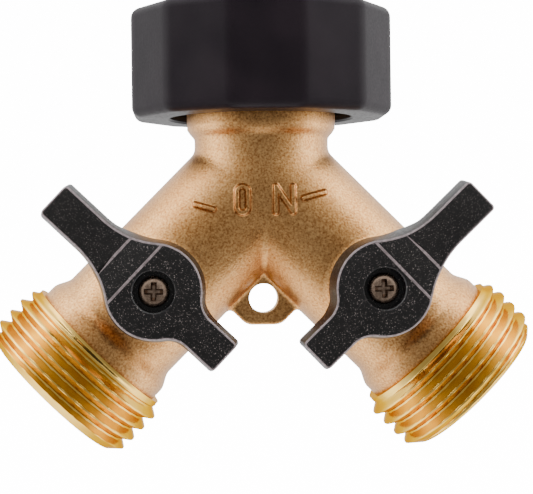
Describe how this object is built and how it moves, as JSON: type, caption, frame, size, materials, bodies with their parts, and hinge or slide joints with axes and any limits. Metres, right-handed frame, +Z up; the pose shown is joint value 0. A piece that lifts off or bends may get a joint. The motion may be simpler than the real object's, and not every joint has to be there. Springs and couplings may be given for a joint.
{
  "type": "hose splitter",
  "caption": "Brass Y valve for garden hoses: a swivel inlet nut in a faceted black grip feeds angled threaded outlets, each opened or shut by a black quarter-turn lever.",
  "frame": {"origin": "middle of the inlet washer's top face, on the inlet axis, where the tap's mouth seals", "axes": "+Z up the inlet axis and out of the nut, +X to the right seen from the levers' side, levers face -Y"},
  "size_m": [0.0798, 0.0401, 0.0654],
  "materials": {
    "cast_brass": "sand cast, blasted to a fine satin grain",
    "machined_brass": "turned bright",
    "black_grip": "moulded black nylon, soft sheen",
    "black_paint": "fine textured black paint on die-cast zinc",
    "plated_steel": "plated, slightly dull",
    "rubber": "matt moulded rubber",
    "ptfe": "white, waxy",
    "chrome": "polished plating"
  },
  "bodies": {
    "valve_body": {"y_body": "cast_brass", "nut_retaining_ring": "plated_steel", "left_seat_upstream": "ptfe", "left_seat_downstream": "ptfe", "left_seat_retainer": "machined_brass", "right_seat_upstream": "ptfe", "right_seat_downstream": "ptfe", "right_seat_retainer": "machined_brass"},
    "swivel_nut": {"inlet_nut": "machined_brass", "nut_grip": "black_grip", "inlet_washer": "rubber"},
    "left_lever": {"left_lever": "black_paint", "left_lever_screw": "plated_steel", "left_stem": "machined_brass", "left_stem_oring_lower": "rubber", "left_stem_oring_upper": "rubber", "left_thrust_washer": "ptfe"},
    "left_ball": {"left_ball": "chrome"},
    "right_lever": {"right_lever": "black_paint", "right_lever_screw": "plated_steel", "right_stem": "machined_brass", "right_stem_oring_lower": "rubber", "right_stem_oring_upper": "rubber", "right_thrust_washer": "ptfe"},
    "right_ball": {"right_ball": "chrome"}
  },
  "joints": [
    {"name": "nut_swivel", "type": "hinge", "parent": "valve_body", "child": "swivel_nut", "pos_m": [0, 0, 0], "axis": [0, 0, 1], "continuous": true},
    {"name": "left_lever_turn", "type": "hinge", "parent": "valve_body", "child": "left_lever", "pos_m": [-0.01612, 0, -0.03332], "axis": [0, 1, 0], "range_deg": [0, 91.2]},
    {"name": "left_ball_turn", "type": "hinge", "parent": "valve_body", "child": "left_ball", "pos_m": [-0.01612, 0, -0.03332], "axis": [0, 1, 0], "range_deg": [0, 91.2]},
    {"name": "right_lever_turn", "type": "hinge", "parent": "valve_body", "child": "right_lever", "pos_m": [0.01612, 0, -0.03332], "axis": [0, -1, 0], "range_deg": [0, 91.2]},
    {"name": "right_ball_turn", "type": "hinge", "parent": "valve_body", "child": "right_ball", "pos_m": [0.01612, 0, -0.03332], "axis": [0, -1, 0], "range_deg": [0, 91.2]}
  ],
  "couplings": [
    {"joint": "left_ball_turn", "follows": "left_lever_turn", "ratio": 1},
    {"joint": "right_ball_turn", "follows": "right_lever_turn", "ratio": 1}
  ]
}
